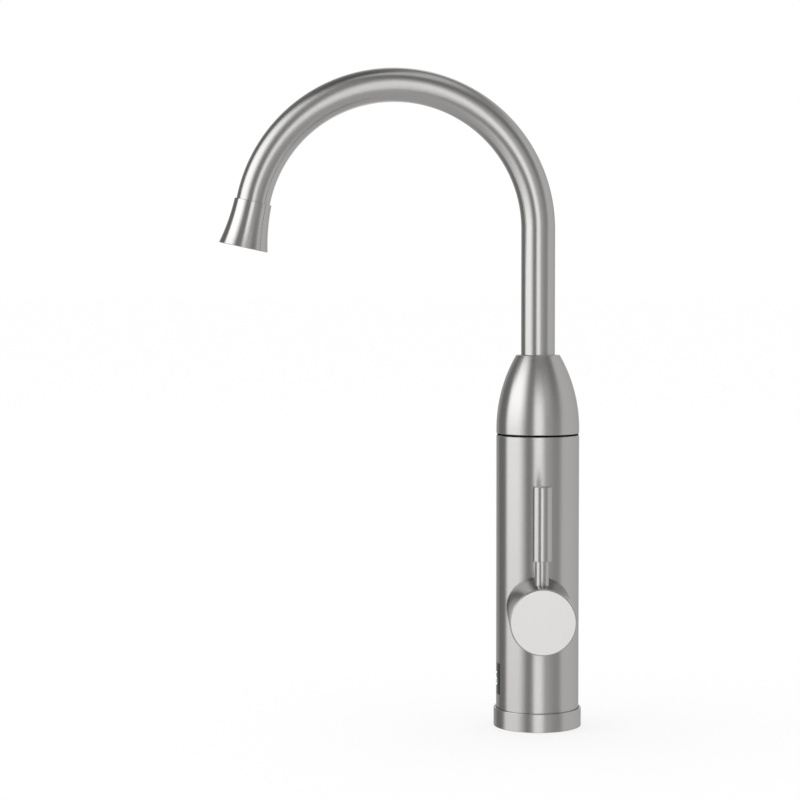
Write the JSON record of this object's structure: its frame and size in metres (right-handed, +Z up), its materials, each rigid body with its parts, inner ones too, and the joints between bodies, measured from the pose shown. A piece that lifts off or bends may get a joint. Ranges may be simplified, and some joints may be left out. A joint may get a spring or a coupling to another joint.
{
  "type": "instant hot water tap",
  "caption": "Upright instant hot water tap in brushed steel: round heater body with display window, domed top, swivelling gooseneck spout with flared nozzle, and a side lever valve.",
  "frame": {"origin": "on the body's axis at the deck, the plane that the base ring stands on", "axes": "+Z up, the spout at rest and the display towards -X, the valve's axis along -Y, metres"},
  "size_m": [0.218, 0.1055, 0.4462],
  "materials": {
    "brushed_steel": "satin brushed stainless steel",
    "stainless": "plain stainless steel",
    "zinc_steel": "zinc-plated steel",
    "brass": "plain machined brass",
    "aluminium": "plain extruded aluminium",
    "window_black": "smoked gloss plastic",
    "black_plastic": "black moulded plastic",
    "white_plastic": "white moulded plastic",
    "board_green": "green circuit board",
    "rubber": "black rubber",
    "ceramic": "ground ceramic"
  },
  "bodies": {
    "tap_body": {"base_ring": "brushed_steel", "base_gasket": "rubber", "base_plate": "black_plastic", "base_screws": "zinc_steel", "inlet_shank": "brass", "shank_seal": "rubber", "inlet_filter": "white_plastic", "deck_washer": "rubber", "clamp_plate": "zinc_steel", "fixing_nut": "brass", "cord_gland": "black_plastic", "valve_body": "brass", "outlet_seal": "rubber", "valve_bonnet": "brass", "valve_sleeve": "brushed_steel", "sleeve_nut": "brass", "cartridge_seal": "rubber", "lower_disc": "ceramic", "cartridge_body": "white_plastic", "cartridge_nut": "brass", "heater_pot": "stainless", "heating_elements": "stainless", "element_nuts": "brass", "thermal_cutout": "black_plastic", "temperature_probe": "stainless", "heater_seal": "rubber", "heater_lid": "stainless", "lid_screws": "zinc_steel", "flow_switch": "black_plastic", "heat_sink": "aluminium", "power_triac": "black_plastic", "power_relay": "black_plastic", "control_board": "board_green", "display_board": "board_green", "display_module": "black_plastic", "display_window": "window_black", "body_shell": "brushed_steel", "seam_ring": "black_plastic", "dome_cap": "brushed_steel", "swivel_socket": "stainless", "slide_ring": "white_plastic", "swivel_nut": "brass"},
    "spout": {"spout_ferrule": "stainless", "spout_seals": "rubber", "spout_tube": "brushed_steel", "nozzle_shell": "brushed_steel", "aerator_washer": "rubber", "aerator_screen": "stainless", "aerator_insert": "white_plastic"},
    "handle": {"upper_disc": "ceramic", "spindle": "brass", "spindle_seal": "rubber", "spindle_screw": "zinc_steel", "handle_cap": "brushed_steel", "handle_end_cap": "brushed_steel", "lever_stem": "brushed_steel", "lever_grip": "brushed_steel"}
  },
  "joints": [
    {"name": "spout_swivel", "type": "hinge", "parent": "tap_body", "child": "spout", "pos_m": [0, 0, 0.2], "axis": [0, 0, 1], "continuous": true},
    {"name": "handle_turn", "type": "hinge", "parent": "tap_body", "child": "handle", "pos_m": [0, -0.0587, 0.074], "axis": [0, -1, 0], "range_deg": [-90, 90]}
  ]
}
